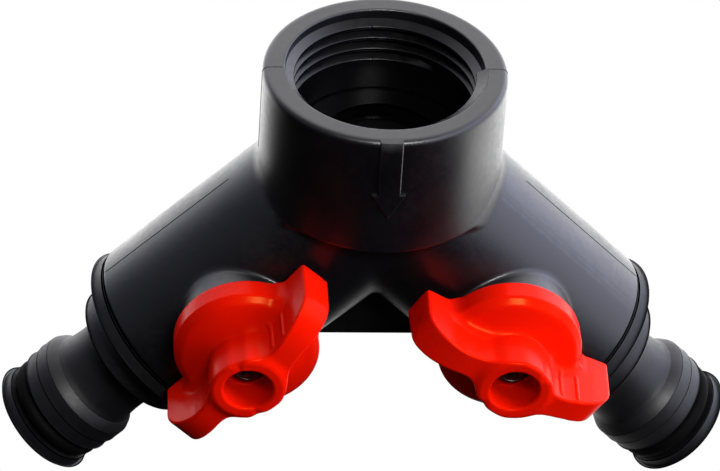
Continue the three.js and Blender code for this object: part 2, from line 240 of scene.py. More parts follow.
def knob_distance(p):
    """The knob: a disc with a hub, two swept wings with ribs, the screw's hole and the square for the stem."""
    x, y, z = p.T
    r = np.hypot(x, y)
    body = outline_distance(r, z, DISC_PROFILE)
    wings = []
    for turn in (1, -1):
        u, v = x * turn, y * turn
        lean = np.where(v > 0, np.clip(KNOB["front"] - 1 - z, 0, 10) * DRAFT, 0)
        plan = outline_distance(u, v - lean * np.clip(u / 8, 0, 1), WING_OUTLINE)
        wing = blend_max(plan, outline_distance(u, z, WING_SIDE), 0.38)
        for at, face in RIBS:
            rib = segment_distance(np.stack([u, v, z], 1), (at, face + 0.1, 19.4), (at, face - 0.12, 23.4), 0.26)
            wing = blend_min(wing, rib, 0.18)
        wings.append(wing)
    body = blend_min(blend_min(body, wings[0], 1.8), wings[1], 1.8)
    hole = np.maximum(r - KNOB["hole_r"], KNOB["hole_floor"] - z)
    body = blend_max(body, -hole, 0.5)
    square = np.maximum(np.maximum(np.abs(x), np.abs(y)) - KNOB["square_half"], z - KNOB["square_to"])
    clearance = r - KNOB["screw_way"]
    return np.maximum(body, -np.minimum(square, clearance))


def ball_distance(p):
    """The ball, its bore along X and the slot for the stem's blade on top."""
    x, y, z = p.T
    body = np.linalg.norm(p, axis=1) - BALL["r"]
    body = blend_max(body, BALL["bore_r"] - np.hypot(y, z), 0.5)
    body = blend_max(body, z - BALL["flat"], 0.4)
    return blend_max(body, -np.maximum(np.abs(x) - BALL["slot_half"], BALL["slot_floor"] - z), 0.3)


def stem_distance(p):
    """The stem: a blade for the ball, a flange, a shaft with two grooves and a square drive, tapped from the front."""
    x, y, z = p.T
    r = np.hypot(x, y)
    shaft = np.maximum(r - STEM["r"], np.maximum(STEM["from"] - z, z - STEM["to"]))
    for at in STEM_RINGS.values():
        groove = np.maximum(STEM["groove_r"] - r, np.abs(z - at) - STEM["groove_half"])
        shaft = np.maximum(shaft, -groove)
    flange = np.maximum(r - STEM["flange_r"], np.maximum(STEM["from"] - z, z - STEM["flange_to"]))
    drive = slab(p, (2.2, 2.2, 3.0), (0, 0, 15.9)) - 0.1
    blade = slab(p, (1.2, 3.1, 0.9), (0, 0, 6.3)) - 0.1
    body = np.minimum(np.minimum(shaft, flange), np.minimum(drive, blade))
    return np.maximum(body, -np.maximum(r - STEM["tapped_r"], STEM["tapped_from"] - z))


def screw_distance(p):
    """A domed screw with a round recess and a small cross in it, and a threaded shank."""
    x, y, z = p.T
    r = np.hypot(x, y)
    under = KNOB["hole_floor"] + 0.05
    dome_centre = np.array([0, 0, under + SCREW["dome_rise"] - SCREW["dome_r"]])
    dome = np.linalg.norm(p - dome_centre, axis=1) - SCREW["dome_r"]
    head = blend_max(blend_max(r - SCREW["head_r"], dome, 0.5), under - z, 0.2)
    head = blend_max(head, -np.maximum(r - SCREW["recess_r"], under + SCREW["recess_floor"] - z), 0.1)
    half, reach = SCREW["cross_half"], SCREW["cross_reach"]
    cross = np.minimum(np.maximum(np.abs(x) - half, np.abs(y) - reach), np.maximum(np.abs(y) - half, np.abs(x) - reach))
    cross = np.maximum(cross, under + SCREW["cross_floor"] - z + r * 0.3)
    phase = (z / SCREW["pitch"] - np.arctan2(y, x) / (2 * math.pi)) % 1
    shank_r = SCREW["thread_r"] - SCREW["thread_depth"] * (1 - np.abs(2 * phase - 1))
    shank = np.maximum(r - shank_r, SCREW["tip"] + r * 0.6 - z)
    shank = np.maximum(shank, z - under - 0.3)
    return np.minimum(blend_max(head, -cross, 0.12), shank)


# ---- meshes ------------------------------------------------------------------------------------------------

def gradient(distance, points, reach):
    """The slope of a distance from four samples round each point."""
    total = np.zeros_like(points)
    for corner in ((1, -1, -1), (-1, -1, 1), (-1, 1, -1), (1, 1, 1)):
        corner = np.array(corner, float)
        total += corner * distance(points + reach * corner)[:, None]
    return total / (4 * reach)


def cell_grid(distance, low, high, step):
    """The distance at the nodes of a grid. Blocks far from the surface keep their middle's value."""
    block = 8
    blocks = np.ceil((high - low) / (step * block)).astype(int)
    counts = blocks * block
    middles = [low[i] + step * (block * np.arange(blocks[i]) + (block - 1) / 2) for i in range(3)]
    centres = np.stack(np.meshgrid(*middles, indexing="ij"), -1).reshape(-1, 3)
    at_centre = distance(centres)
    reach = step * block * math.sqrt(3) / 2 * 1.25
    values = np.repeat(np.repeat(np.repeat(at_centre.reshape(blocks), block, 0), block, 1), block, 2)
    offsets = np.stack(np.meshgrid(*[np.arange(block)] * 3, indexing="ij"), -1).reshape(-1, 3)
    near = np.argwhere((np.abs(at_centre) < reach).reshape(blocks))
    batch = 400
    for start in range(0, len(near), batch):
        nodes = (near[start:start + batch, None] * block + offsets).reshape(-1, 3)
        values[tuple(nodes.T)] = distance(low + step * nodes)
    return values, counts


def surface(distance, low, high, step):
    """The zero surface of a distance as quads, its vertices settled on it: points, quads, normals."""
    low, high = np.array(low, float), np.array(high, float)
    values, counts = cell_grid(distance, low, high, step)
    inside = values < 0
    corners = sum(
        inside[a:counts[0] - 1 + a, b:counts[1] - 1 + b, c:counts[2] - 1 + c].astype(np.int8)
        for a, b, c in product((0, 1), repeat=3)
    )
    cells = np.argwhere((corners > 0) & (corners < 8))
    number = np.full(corners.shape, -1)
    number[tuple(cells.T)] = np.arange(len(cells))
    total = np.zeros((len(cells), 3))
    hits = np.zeros(len(cells))
    for axis in range(3):
        first, second = [other for other in range(3) if other != axis]
        for b, c in product((0, 1), repeat=2):
            start = cells.copy()
            start[:, first] += b
            start[:, second] += c
            end = start.copy()
            end[:, axis] += 1
            v0, v1 = values[tuple(start.T)], values[tuple(end.T)]
            cross = (v0 < 0) != (v1 < 0)
            point = start.astype(float)
            point[cross, axis] += v0[cross] / (v0[cross] - v1[cross])
            total[cross] += point[cross]
            hits[cross] += 1
    points = low + step * total / hits[:, None]
    for _ in range(3):
        slope = gradient(distance, points, 0.02)
        move = -distance(points)[:, None] * slope / np.maximum((slope ** 2).sum(1), 0.2)[:, None]
        length = np.linalg.norm(move, axis=1, keepdims=True)
        points += move * np.minimum(1, 0.4 * step / np.maximum(length, 1e-9))
    quads = []
    for axis in range(3):
        u, v = (axis + 1) % 3, (axis + 2) % 3
        near = np.moveaxis(inside, axis, 0)
        change = np.moveaxis(near[:-1] != near[1:], 0, axis)
        edges = np.argwhere(change)
        keep = (edges[:, u] > 0) & (edges[:, v] > 0)
        keep &= (edges[:, u] < counts[u] - 1) & (edges[:, v] < counts[v] - 1)
        edges = edges[keep]
        ring = []
        for du, dv in ((1, 1), (0, 1), (0, 0), (1, 0)):
            cell = edges.copy()
            cell[:, u] -= du
            cell[:, v] -= dv
            ring.append(number[tuple(cell.T)])
        ring = np.stack(ring, 1)
        outwards = inside[tuple(edges.T)]
        quads.append(np.where(outwards[:, None], ring, ring[:, ::-1]))
    normals = gradient(distance, points, 0.04)
    normals /= np.maximum(np.linalg.norm(normals, axis=1, keepdims=True), 1e-9)
    return points, np.concatenate(quads), normals


def mesh_object(name, points, faces, place, normals=None):
    """A mesh from millimetre points, placed by a matrix in metres."""
    mesh = bpy.data.meshes.new(name)
    mesh.from_pydata((np.asarray(points) * MM).tolist(), [], [tuple(face) for face in faces])
    mesh.polygons.foreach_set("use_smooth", np.ones(len(mesh.polygons), bool))
    mesh.update()
    if normals is not None:
        mesh.normals_split_custom_set_from_vertices(np.asarray(normals).tolist())
    made = bpy.data.objects.new(name, mesh)
    bpy.context.scene.collection.objects.link(made)
    made.matrix_world = place
    return made


SMOOTH_DEG = 24  # corners of a profile that bend less than this are shaded smooth
FILLET_STEP_DEG = 12


def rounded(corners):
    """A profile of (radius, height, fillet) corners as points with the normals before and after each."""
    points = [np.array(corner[:2], float) for corner in corners]
    fillets = [corner[2] if len(corner) > 2 else 0 for corner in corners]
    count = len(points)
    out = []
    smooth = math.cos(math.radians(SMOOTH_DEG))
    for i, point in enumerate(points):
        back = points[i - 1] - point
        ahead = points[(i + 1) % count] - point
        reach = min(np.linalg.norm(back), np.linalg.norm(ahead)) * 0.49
        back /= np.linalg.norm(back)
        ahead /= np.linalg.norm(ahead)
        normal_in = np.array([-back[1], back[0]])
        normal_out = np.array([ahead[1], -ahead[0]])
        if fillets[i] <= 0 or normal_in @ normal_out > smooth:
            if normal_in @ normal_out > smooth:
                mean = normal_in + normal_out
                normal_in = normal_out = mean / np.linalg.norm(mean)
            out.append((point, normal_in, normal_out))
            continue
        half = math.acos(np.clip(-(back @ ahead), -1, 1)) / 2
        size = min(fillets[i], reach / math.tan(half))
        cut = size * math.tan(half)
        bend = np.sign(back[0] * ahead[1] - back[1] * ahead[0])
        centre = point + back * cut - normal_in * size * bend
        steps = max(3, int(half * 2 / math.radians(FILLET_STEP_DEG)))
        outwards = 1 if np.dot(point + back * cut - centre, normal_in) > 0 else -1
        for k in range(steps + 1):
            share = k / steps
            mixed = turned_normal(normal_in, normal_out, share)
            out.append((centre + mixed * size * outwards, mixed, mixed))
    return out


def turned_normal(first, last, share):
    """The normal that lies this share of the way from the first to the last."""
    angle = math.atan2(first[0] * last[1] - first[1] * last[0], first @ last)
    c, s = math.cos(angle * share), math.sin(angle * share)
    return np.array([c * first[0] - s * first[1], s * first[0] + c * first[1]])


def lathe(name, corners, place, segments=128):
    """A closed profile, given anticlockwise as (radius, height, fillet), turned about +Z."""
    profile = rounded(corners)
    count = len(profile)
    angles = np.arange(segments) * 2 * math.pi / segments
    cos, sin = np.cos(angles), np.sin(angles)
    points, faces, loops = [], [], []
    for (r, h), _, _ in profile:
        points.append(np.stack([r * cos, r * sin, np.full(segments, h)], 1))
    points = np.concatenate(points)
    for i in range(count):
        j = (i + 1) % count
        n_first, n_last = profile[i][2], profile[j][1]
        for k in range(segments):
            m = (k + 1) % segments
            faces.append((i * segments + k, i * segments + m, j * segments + m, j * segments + k))
            for at, normal in ((k, n_first), (m, n_first), (m, n_last), (k, n_last)):
                loops.append((normal[0] * cos[at], normal[0] * sin[at], normal[1]))
    made = mesh_object(name, points, faces, place)
    made.data.normals_split_custom_set(loops)
    return made


def tube(name, path, radius, place, sides=8):
    """A thin bead along a path, with closed ends."""
    path = np.array(path, float)
    tangents = np.gradient(path, axis=0)
    tangents /= np.linalg.norm(tangents, axis=1, keepdims=True)
    across = np.array([0.0, 1.0, 0.0])
    points, faces = [], []
    for point, tangent in zip(path, tangents):
        up = np.cross(tangent, across)
        for k in range(sides):
            angle = 2 * math.pi * k / sides
            points.append(point + radius * (math.cos(angle) * across + math.sin(angle) * up))
    for i in range(len(path) - 1):
        for k in range(sides):
            m = (k + 1) % sides
            faces.append((i * sides + k, i * sides + m, (i + 1) * sides + m, (i + 1) * sides + k))
    faces.append(tuple(range(sides))[::-1])
    last = (len(path) - 1) * sides
    faces.append(tuple(range(last, last + sides)))
    return mesh_object(name, points, faces, place)


# ---- places ------------------------------------------------------------------------------------------------

MEET_PLACE = Matrix.Translation(MEET)


def arm_place(side):
    """+Z out along the arm."""
    return MEET_PLACE @ Matrix.Rotation(side * math.radians(135), 4, "Y")


def valve_place(side, turn):
    """+Z forwards along the stem, +X out along the arm, then turned."""
    axis = Vector(arm_axis(side))
    angle = math.atan2(axis.z, axis.x) + turn
    return MEET_PLACE @ Matrix.Translation(axis * VALVE_AT * MM) @ Matrix.Rotation(math.pi / 2, 4, "X") \
        @ Matrix.Rotation(angle, 4, "Z")


# ---- materials ---------------------------------------------------------------------------------------------

MIX_A, MIX_B, MIX_RESULT = 6, 7, 2  # a Mix node's colour sockets, which share their names with its other kinds


def plastic(name, colour, roughness, grain, grain_bump, wear=0.0, specular=0.5, mottle=0.12, speck=0.35,
            metallic=0.0, gloss_tint=None):
    """Moulded plastic: a fine spark-eroded grain, slow colour and gloss changes, and paler rubbed edges."""
    material = bpy.data.materials.new(name)
    material.use_nodes = True
    tree = material.node_tree
    nodes, links = tree.nodes, tree.links
    shader = nodes["Principled BSDF"]
    shader.inputs["Specular IOR Level"].default_value = specular
    shader.inputs["Metallic"].default_value = metallic
    if gloss_tint:
        shader.inputs["Specular Tint"].default_value = (*gloss_tint, 1)
    place = nodes.new("ShaderNodeTexCoord").outputs["Object"]

    def noise(size_mm, detail, seed):
        node = nodes.new("ShaderNodeTexNoise")
        node.noise_dimensions = "4D"
        node.inputs["W"].default_value = seed
        node.inputs["Scale"].default_value = 1 / (size_mm * MM)
        node.inputs["Detail"].default_value = detail
        links.new(place, node.inputs["Vector"])
        return node.outputs["Fac"]

    def math_node(kind, a, b):
        node = nodes.new("ShaderNodeMath")
        node.operation = kind
        for socket, value in zip(node.inputs, (a, b)):
            if isinstance(value, (int, float)):
                socket.default_value = value
            else:
                links.new(value, socket)
        return node.outputs["Value"]

    def ranged(value, low, high, from_low=0.3, from_high=0.7):
        node = nodes.new("ShaderNodeMapRange")
        node.inputs["From Min"].default_value = from_low
        node.inputs["From Max"].default_value = from_high
        node.inputs["To Min"].default_value = low
        node.inputs["To Max"].default_value = high
        links.new(value, node.inputs["Value"])
        return node.outputs["Result"]

    def mixed(factor, a, b):
        node = nodes.new("ShaderNodeMix")
        node.data_type = "RGBA"
        links.new(factor, node.inputs["Factor"])
        for socket, value in ((node.inputs[MIX_A], a), (node.inputs[MIX_B], b)):
            if isinstance(value, tuple):
                socket.default_value = (*value, 1)
            else:
                links.new(value, socket)
        return node.outputs[MIX_RESULT]

    slow = noise(9, 3, 1.7)
    fine = noise(0.35, 2, 4.1)
    dark = tuple(c * (1 - mottle) for c in colour)
    pale = tuple(c * (1 + mottle) for c in colour)
    tint = mixed(ranged(slow, 0, 1), dark, pale)
    surface_colour = mixed(ranged(fine, 0, speck), tint, tuple(c * 0.8 for c in colour))
    if wear:
        edge = nodes.new("ShaderNodeNewGeometry").outputs["Pointiness"]
        worn = math_node("MULTIPLY", ranged(edge, 0, wear, 0.52, 0.62), ranged(noise(1.3, 4, 9.3), 0.2, 1))
        surface_colour = mixed(worn, surface_colour, tuple(min(1, c * 2.2 + 0.02) for c in colour))
    links.new(surface_colour, shader.inputs["Base Color"])
    gloss = math_node("ADD", ranged(slow, roughness - 0.05, roughness + 0.05),
                      ranged(noise(0.8, 4, 6.6), -0.04, 0.04))
    links.new(gloss, shader.inputs["Roughness"])
    height = math_node("ADD", math_node("MULTIPLY", noise(grain, 3, 2.2), 1.0),
                       math_node("MULTIPLY", noise(4.5, 2, 8.8), 0.6))
    bump = nodes.new("ShaderNodeBump")
    bump.inputs["Strength"].default_value = grain_bump
    bump.inputs["Distance"].default_value = grain * MM * 0.5
    links.new(height, bump.inputs["Height"])
    links.new(bump.outputs["Normal"], shader.inputs["Normal"])
    return material


BODY = plastic("body_plastic", (0.0012, 0.0012, 0.0022), 0.36, 0.13, 0.3, wear=0.5, specular=0.5)
MATT = plastic("nipple_plastic", (0.0012, 0.0012, 0.0022), 0.5, 0.13, 0.3, wear=0.5, specular=0.36)
RUBBER = plastic("seal_rubber", (0.0008, 0.0008, 0.0009), 0.7, 0.25, 0.4, specular=0.05)
WASHER_RUBBER = plastic("gasket_rubber", (0.0008, 0.0008, 0.0009), 0.22, 0.25, 0.05, specular=0.25)
# The thread lining: the body plastic made smoother, with a base colour a third darker than the body's as painted shade
# for the socket's hollow.
SHADED_POLISHED = plastic("body_plastic_polished_shaded", (0.0008, 0.0008, 0.0014), 0.28, 0.2, 0.015, specular=0.34)
WAXY = plastic("seat_plastic", (0.75, 0.74, 0.69), 0.38, 0.3, 0.15)
ACETAL = plastic("stem_plastic", (0.68, 0.67, 0.62), 0.35, 0.25, 0.15)
KNOB_RED = plastic("knob_plastic", (0.62, 0.005, 0.0003), 0.24, 0.28, 0.04, specular=0.055, mottle=0.04, speck=0.08,
                   gloss_tint=(1.0, 0.45, 0.1))
# The screw's steel: far darker than steel's own colour, as painted shade for the deep hole it sits in.
SHADED_STEEL = plastic("screw_steel", (0.06, 0.06, 0.063), 0.3, 0.1, 0.2, metallic=1.0)


def finish(piece, body, slot, material, *replaced):
    """Gives a piece its material and body, and hides the CAD nodes that it stands for. Its slot is not used."""
    piece.data.materials.clear()
    piece.data.materials.append(material)
    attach(piece, body)
    if replaced:
        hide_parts(*replaced)
    return piece


# ---- housing -----------------------------------------------------------------------------------------------

HOUSING_STEP = 0.24
shell = surface(housing_distance, (-38, -17.2, -38), (38, 17.2, 17.8), HOUSING_STEP)
housing = mesh_object("housing_shell", shell[0], shell[1], MEET_PLACE, shell[2])
finish(housing, "housing_body", "body_plastic", BODY, "housing")


def eased_corners(points, cut=0.07):
    """Each corner of a loop as two points, so that an edge catches the light."""
    out = []
    for i, point in enumerate(points):
        for other in (points[i - 1], points[(i + 1) % len(points)]):
            way = other - point
            length = max(np.linalg.norm(way), 1e-6)
            out.append(point + way / length * min(cut, 0.3 * length))
    return out


RUNOUT_DEG = (48, 74)  # the lowest groove grows to its full depth between these angles


def thread_section(degrees):
    """The lining's section at an angle: a right-hand thread that starts at the right, under a sloping lip."""
    rise = THREAD["pitch"] * (degrees / 360 - 0.25)
    minor, major = THREAD["minor"], THREAD["major"]
    foot = SOCKET["floor"] + 0.02
    points = [(minor, foot)]
    for index in range(3):
        runout = np.clip((degrees - RUNOUT_DEG[0]) / (RUNOUT_DEG[1] - RUNOUT_DEG[0]), 0.02, 1) if index == 0 else 1
        at = THREAD["lowest"] + THREAD["pitch"] * index + rise
        root = minor + (major - minor) * runout
        points += [(minor, at - THREAD["mouth"]), (root, at - THREAD["root"]), (root, at + THREAD["root"])]
        points += [(minor, at + THREAD["mouth"])]
    top = SOCKET["slope_from"] + rise
    slope = (SOCKET["slope_to"] - SOCKET["slope_from"]) / (major - minor)
    points[-1] = (minor, min(points[-1][1], top - 0.05))
    outer = major + 0.4
    points += [(minor, top), (outer, top + slope * (outer - minor)), (outer, foot)]
    return eased_corners([np.array(point, float) for point in points])


def thread_lining():
    """The lining as a ring cut open at the right, with flat shading on its faces and round shading on its edges."""
    steps = 216
    points, faces, loops = [], [], []
    sections = []
    for k in range(steps + 1):
        degrees = 0.02 + (360 - 0.04) * k / steps
        angle = math.radians(degrees)
        section = np.array(thread_section(degrees))
        sections.append((math.cos(angle), math.sin(angle), face_normals(section)))
        points += [(r * math.cos(angle), r * math.sin(angle), z) for r, z in section]
    width = len(section)
    for k in range(steps):
        for j in range(width):
            m = (j + 1) % width
            a, b = k * width, (k + 1) * width
            faces.append((a + j, a + m, b + m, b + j))
            for at, end in ((k, 0), (k, 1), (k + 1, 1), (k + 1, 0)):
                cos, sin, normals = sections[at]
                out, up = normals[j][end]
                loops.append((out * cos, out * sin, up))
    for at, face in ((0, range(width - 1, -1, -1)), (steps, range(width))):
        cos, sin, _ = sections[at]
        faces.append(tuple(at * width + j for j in face))
        way = -1 if at == 0 else 1
        loops += [(-sin * way, cos * way, 0.0)] * width
    made = mesh_object("socket_thread", points, faces, MEET_PLACE)
    made.data.normals_split_custom_set(loops)
    return made


def face_normals(section):
    """For each side of a section from eased_corners: its normals at its first and last point."""
    count = len(section)
    way = np.roll(section, -1, axis=0) - section
    normal = np.stack([-way[:, 1], way[:, 0]], 1)
    normal /= np.maximum(np.linalg.norm(normal, axis=1, keepdims=True), 1e-9)
    out = []
    for j in range(count):
        if j % 2:
            out.append((normal[j], normal[j]))
        else:
            out.append((normal[j - 1], normal[(j + 1) % count]))
    return out


finish(thread_lining(), "housing_body", "body_plastic", SHADED_POLISHED)


def arrow_relief():
    """The raised flow arrow on the collar's front, wrapped round it."""
    top = COLLAR["top"]
    rows = [(top - 0.02, ARROW["shaft"]), (top - 0.1, ARROW["shaft"])]
    rows += [(top - 0.1 - (top - 0.1 - ARROW["barbs"]) * k / 12, ARROW["shaft"]) for k in range(1, 13)]
    rows += [(ARROW["barbs"] - 0.01, ARROW["barb"])]
    slope = (ARROW["barbs"] - ARROW["tip"]) / 8
    rows += [(ARROW["barbs"] - 0.01 - slope * k, max(ARROW["barb"] * (1 - k / 8), 0.02)) for k in range(1, 9)]
    columns = np.linspace(-1, 1, 17)
    edge = 0.75

    def outer(z):
        into = max(0.0, z - (top - edge)) / edge
        return collar_radius(z) + ARROW["height"] - edge * (1 - math.sqrt(max(0, 1 - into * into)))

    points, faces = [], []
    lift = [(-0.9, 0.0), (-ARROW["bevel"], 0.0), (0.0, ARROW["bevel"])]
    width = len(columns)
    for depth, inset in lift:
        for z, half in rows:
            row_half = max(half - inset, 0.01)
            row_z = min(z, top - inset) + (inset if half < 0.05 else 0)
            for u in columns:
                x = u * row_half
                radius = outer(row_z) + depth
                points.append((x, -math.sqrt(radius * radius - x * x), row_z))
    layer = len(rows) * width
    for i in range(len(rows) - 1):
        for j in range(width - 1):
            a = 2 * layer + i * width + j
            faces.append((a, a + width, a + width + 1, a + 1))
            b = i * width + j
            faces.append((b, b + 1, b + width + 1, b + width))
    rim = [i * width for i in range(len(rows))]
    rim += [(len(rows) - 1) * width + j for j in range(1, width)]
    rim += [i * width + width - 1 for i in range(len(rows) - 2, -1, -1)]
    rim += [j for j in range(width - 2, 0, -1)]
    for level in range(2):
        for a, b in zip(rim, rim[1:] + rim[:1]):
            faces.append((level * layer + a, level * layer + b, (level + 1) * layer + b, (level + 1) * layer + a))
    made = mesh_object("flow_arrow", points, faces, MEET_PLACE)
    made.data.set_sharp_from_angle(angle=math.radians(28))
    return made


finish(arrow_relief(), "housing_body", "body_plastic", BODY)


def settled(path):
    """A path in the parting plane moved onto the housing's surface."""
    points = np.array(path, float)
    for _ in range(6):
        slope = gradient(housing_distance, points, 0.02)
        slope[:, 1] = 0
        points -= housing_distance(points)[:, None] * slope / np.maximum((slope ** 2).sum(1), 0.3)[:, None]
    return points


def seam_path(side):
    """The parting line on one side, from the socket's mouth over the rim, down the collar and along the arm."""
    top, edge = COLLAR["top"], 0.75
    path = [(THREAD["major"] + 0.4 + 0.2 * k, 0, top) for k in range(10)]
    for k in range(1, 7):
        angle = math.radians(15 * k)
        r = collar_radius(top) - edge * (1 - math.sin(angle))
        path.append((r, 0, top - edge * (1 - math.cos(angle))))
    for z in np.linspace(15.6, COLLAR["bottom"] + 5, 20):
        path.append((collar_radius(z), 0, z))
    return settled([(side * x, y, z) for x, y, z in path])


def arm_seam(side, above):
    """The parting line along the top (1) or bottom (-1) of one arm."""
    axis = arm_axis(side)
    out = np.array([side, 0, 1]) / math.sqrt(2) * above
    start = 15.5 if above > 0 else 14.5
    return settled([axis * t + out * ARM_R for t in np.linspace(start, ARM_END - 0.5, 40)])


SEAM_R = 0.06
for label, side in SIDES.items():
    finish(tube("seam_collar_" + label, seam_path(side), SEAM_R, MEET_PLACE), "housing_body", "body_plastic", BODY)
    finish(tube("seam_arm_" + label, arm_seam(side, 1), SEAM_R, MEET_PLACE), "housing_body", "body_plastic", BODY)
    finish(tube("seam_under_" + label, arm_seam(side, -1), SEAM_R, MEET_PLACE), "housing_body", "body_plastic", BODY)

# ---- seals and outlets -------------------------------------------------------------------------------------

gasket = lathe("inlet_gasket_ring", [
    (GASKET["inner"], SOCKET["floor"] + 0.02, 0.2), (GASKET["outer"], SOCKET["floor"] + 0.02, 0.2),
    (GASKET["outer"], GASKET["top"], 0.25), (GASKET["inner"], GASKET["top"], 0.18),
], MEET_PLACE)
finish(gasket, "housing_body", "seal_rubber", WASHER_RUBBER, "inlet_gasket")


def smooth_run(corners, per=5):
    """Points on a smooth curve through the corners, for a profile without creases."""
    corners = np.array(corners, float)
    padded = np.concatenate([[2 * corners[0] - corners[1]], corners, [2 * corners[-1] - corners[-2]]])
    out = []
    for a, b, c, d in zip(padded, padded[1:], padded[2:], padded[3:]):
        for share in np.arange(per) / per:
            out.append(0.5 * (2 * b + (c - a) * share + (2 * a - 5 * b + 4 * c - d) * share ** 2
                              + (3 * b - a - 3 * c + d) * share ** 3))
    return [tuple(point) for point in out] + [tuple(corners[-1])]


NECK = smooth_run([(7.8, 46.62), (7.1, 47.8), (6.75, 49.5), (6.7, 51.2), (6.85, 53), (7.15, 54)])
NIPPLE = [
    (4.2, 33.45, 0.15), (7.4, 33.45, 0.2), (7.4, 33.62, 0.0), (10.25, 33.62, 0.2), (10.25, 35.4, 0.1),
    (8.7, 35.4, 0.1), (8.7, 37.2, 0.1), (10.25, 37.2, 0.1), (10.25, 40.1, 0.0), (13.05, 40.1, 0.2),
    (13.05, 42.03, 0.22), (9.8, 42.03, 0.2), (9.68, 46.5, 0.25), *NECK, (7.85, 54.75), (8.2, 55.5, 0.15),
    (8.2, 57.5, 0.12), (8.0, 57.7, 0.1), (8.0, 59.84, 0.15), (5.5, 59.84, 0.1),
    (5.5, 62.95, 0.1), (7.95, 62.95, 0.12), (7.95, 65.0, 0.4), (4.9, 65.0, 0.2), (4.2, 64.3, 0.2),
]


def flat_ring(size, inner_round, outer_round):
    """The profile of a flat ring with rounded edges."""
    return [(size["inner"], size["from"], inner_round), (size["outer"], size["from"], outer_round),
            (size["outer"], size["to"], outer_round), (size["inner"], size["to"], inner_round)]


def ring_corners(at, r, section, count=20):
    """The profile of an O-ring: a circle of corners."""
    return [(r + section * math.cos(a), at + section * math.sin(a))
            for a in np.arange(count) * 2 * math.pi / count]


for label, side in SIDES.items():
    place = arm_place(side)
    nipple = lathe("nipple_" + label, NIPPLE, place, 144)
    finish(nipple, "housing_body", "body_plastic", MATT, "outlet_nipple_" + label)
    seal = lathe("joint_seal_" + label, flat_ring(JOINT_SEAL, 0.1, 0.1), place)
    finish(seal, "housing_body", "seal_rubber", RUBBER, "nipple_joint_seal_" + label)
    tip = lathe("tip_o_ring_" + label, ring_corners(**TIP_RING), place)
    finish(tip, "housing_body", "seal_rubber", RUBBER, "coupling_o_ring_" + label)
    spigot = lathe("spigot_o_ring_" + label, ring_corners(**SPIGOT_RING, count=14), place, 96)
    finish(spigot, "housing_body", "seal_rubber", RUBBER, "nipple_spigot_o_ring_" + label)
    for name, way in (("upstream", -1), ("downstream", 1)):
        cone = [(SEAT["inner"], SEAT["lip"], 0.1), (SEAT["cone"], SEAT["front"], 0.1),
                (SEAT["outer"], SEAT["front"], 0.15), (SEAT["outer"], SEAT["back"], 0.15),
                (SEAT["inner"], SEAT["back"], 0.15)]
        if way < 0:
            cone = [(r, -h, fillet) for r, h, fillet in reversed(cone)]
        seat_place = place @ Matrix.Translation((0, 0, VALVE_AT * MM))
        seat = lathe(f"seat_{name}_{label}", cone, seat_place, 96)
        finish(seat, "housing_body", "seat_plastic", WAXY, f"ball_seat_{name}_{label}")
    washer = lathe("thrust_washer_" + label, flat_ring(WASHER, 0.05, 0.1), valve_place(side, 0), 96)
    finish(washer, "housing_body", "seat_plastic", WAXY, "stem_thrust_washer_" + label)

# ---- valves ------------------------------------------------------------------------------------------------

KNOB_STEP = 0.16
SCREW_STEP = 0.09
knob_shape = surface(knob_distance, (-16, -12, 13.3), (16, 12, 25.4), KNOB_STEP)
screw_shape = surface(screw_distance, (-3, -3, 12.6), (3, 3, 22.6), SCREW_STEP)
ball_shape = surface(ball_distance, (-8, -8, -8), (8, 8, 8), 0.3)
stem_shape = surface(stem_distance, (-5.2, -5.2, 4.8), (5.2, 5.2, 19.6), 0.2)
for label, side in SIDES.items():
    body = label + "_valve"
    place = valve_place(side, RIGHT_TURN if side > 0 else 0)
    for name, shape, slot, material, node in (
        ("knob_grip_", knob_shape, "knob_plastic", KNOB_RED, "knob_"),
        ("cross_screw_", screw_shape, "screw_steel", SHADED_STEEL, "knob_screw_"),
        ("ball_", ball_shape, "stem_plastic", ACETAL, "valve_ball_"),
        ("stem_", stem_shape, "stem_plastic", ACETAL, "valve_stem_"),
    ):
        made = mesh_object(name + label, shape[0], shape[1], place, shape[2])
        finish(made, body, slot, material, node + label)
    for ring, at in STEM_RINGS.items():
        made = lathe(f"stem_ring_{ring}_{label}", ring_corners(at, **STEM_RING, count=12), place, 64)
        finish(made, body, "seal_rubber", RUBBER, f"stem_o_ring_{ring}_{label}")

# ---- studio ------------------------------------------------------------------------------------------------

YAW, ELEVATION, ROLL = math.radians(5.09), math.radians(39.11), math.radians(3.64)
FOCAL, SENSOR = 175.0, 36.0
DISTANCE, SHIFT = 0.47297, (0.00255, 0.00898)

turn = np.array([[math.cos(YAW), -math.sin(YAW), 0], [math.sin(YAW), math.cos(YAW), 0], [0, 0, 1]])
back = np.array([0, -math.cos(ELEVATION), math.sin(ELEVATION)])
right = np.array([1.0, 0, 0])
looking = np.stack([right, np.cross(back, right), back]) @ turn
tilt = np.array([[math.cos(ROLL), math.sin(ROLL), 0], [-math.sin(ROLL), math.cos(ROLL), 0], [0, 0, 1]])
looking = tilt @ looking
camera_data = bpy.data.cameras.new("camera")
camera_data.lens = FOCAL
camera_data.sensor_width = SENSOR
camera_data.clip_start = 0.01
camera = bpy.data.objects.new("camera", camera_data)
bpy.context.scene.collection.objects.link(camera)
eye = looking.T @ np.array([-SHIFT[0], -SHIFT[1], DISTANCE])
camera.matrix_world = Matrix.Translation(MEET + Vector(eye)) @ Matrix(looking.T.tolist()).to_4x4()
bpy.context.scene.camera = camera

floor_mesh = bpy.data.meshes.new("floor")
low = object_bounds()[0]
REACH = 3.0
floor_z = low.z - 0.0002
floor_mesh.from_pydata([(-REACH, -REACH, floor_z), (REACH, -REACH, floor_z), (REACH, REACH, floor_z),
                        (-REACH, REACH, floor_z)], [], [(0, 1, 2, 3)])
floor = bpy.data.objects.new("floor", floor_mesh)
bpy.context.scene.collection.objects.link(floor)


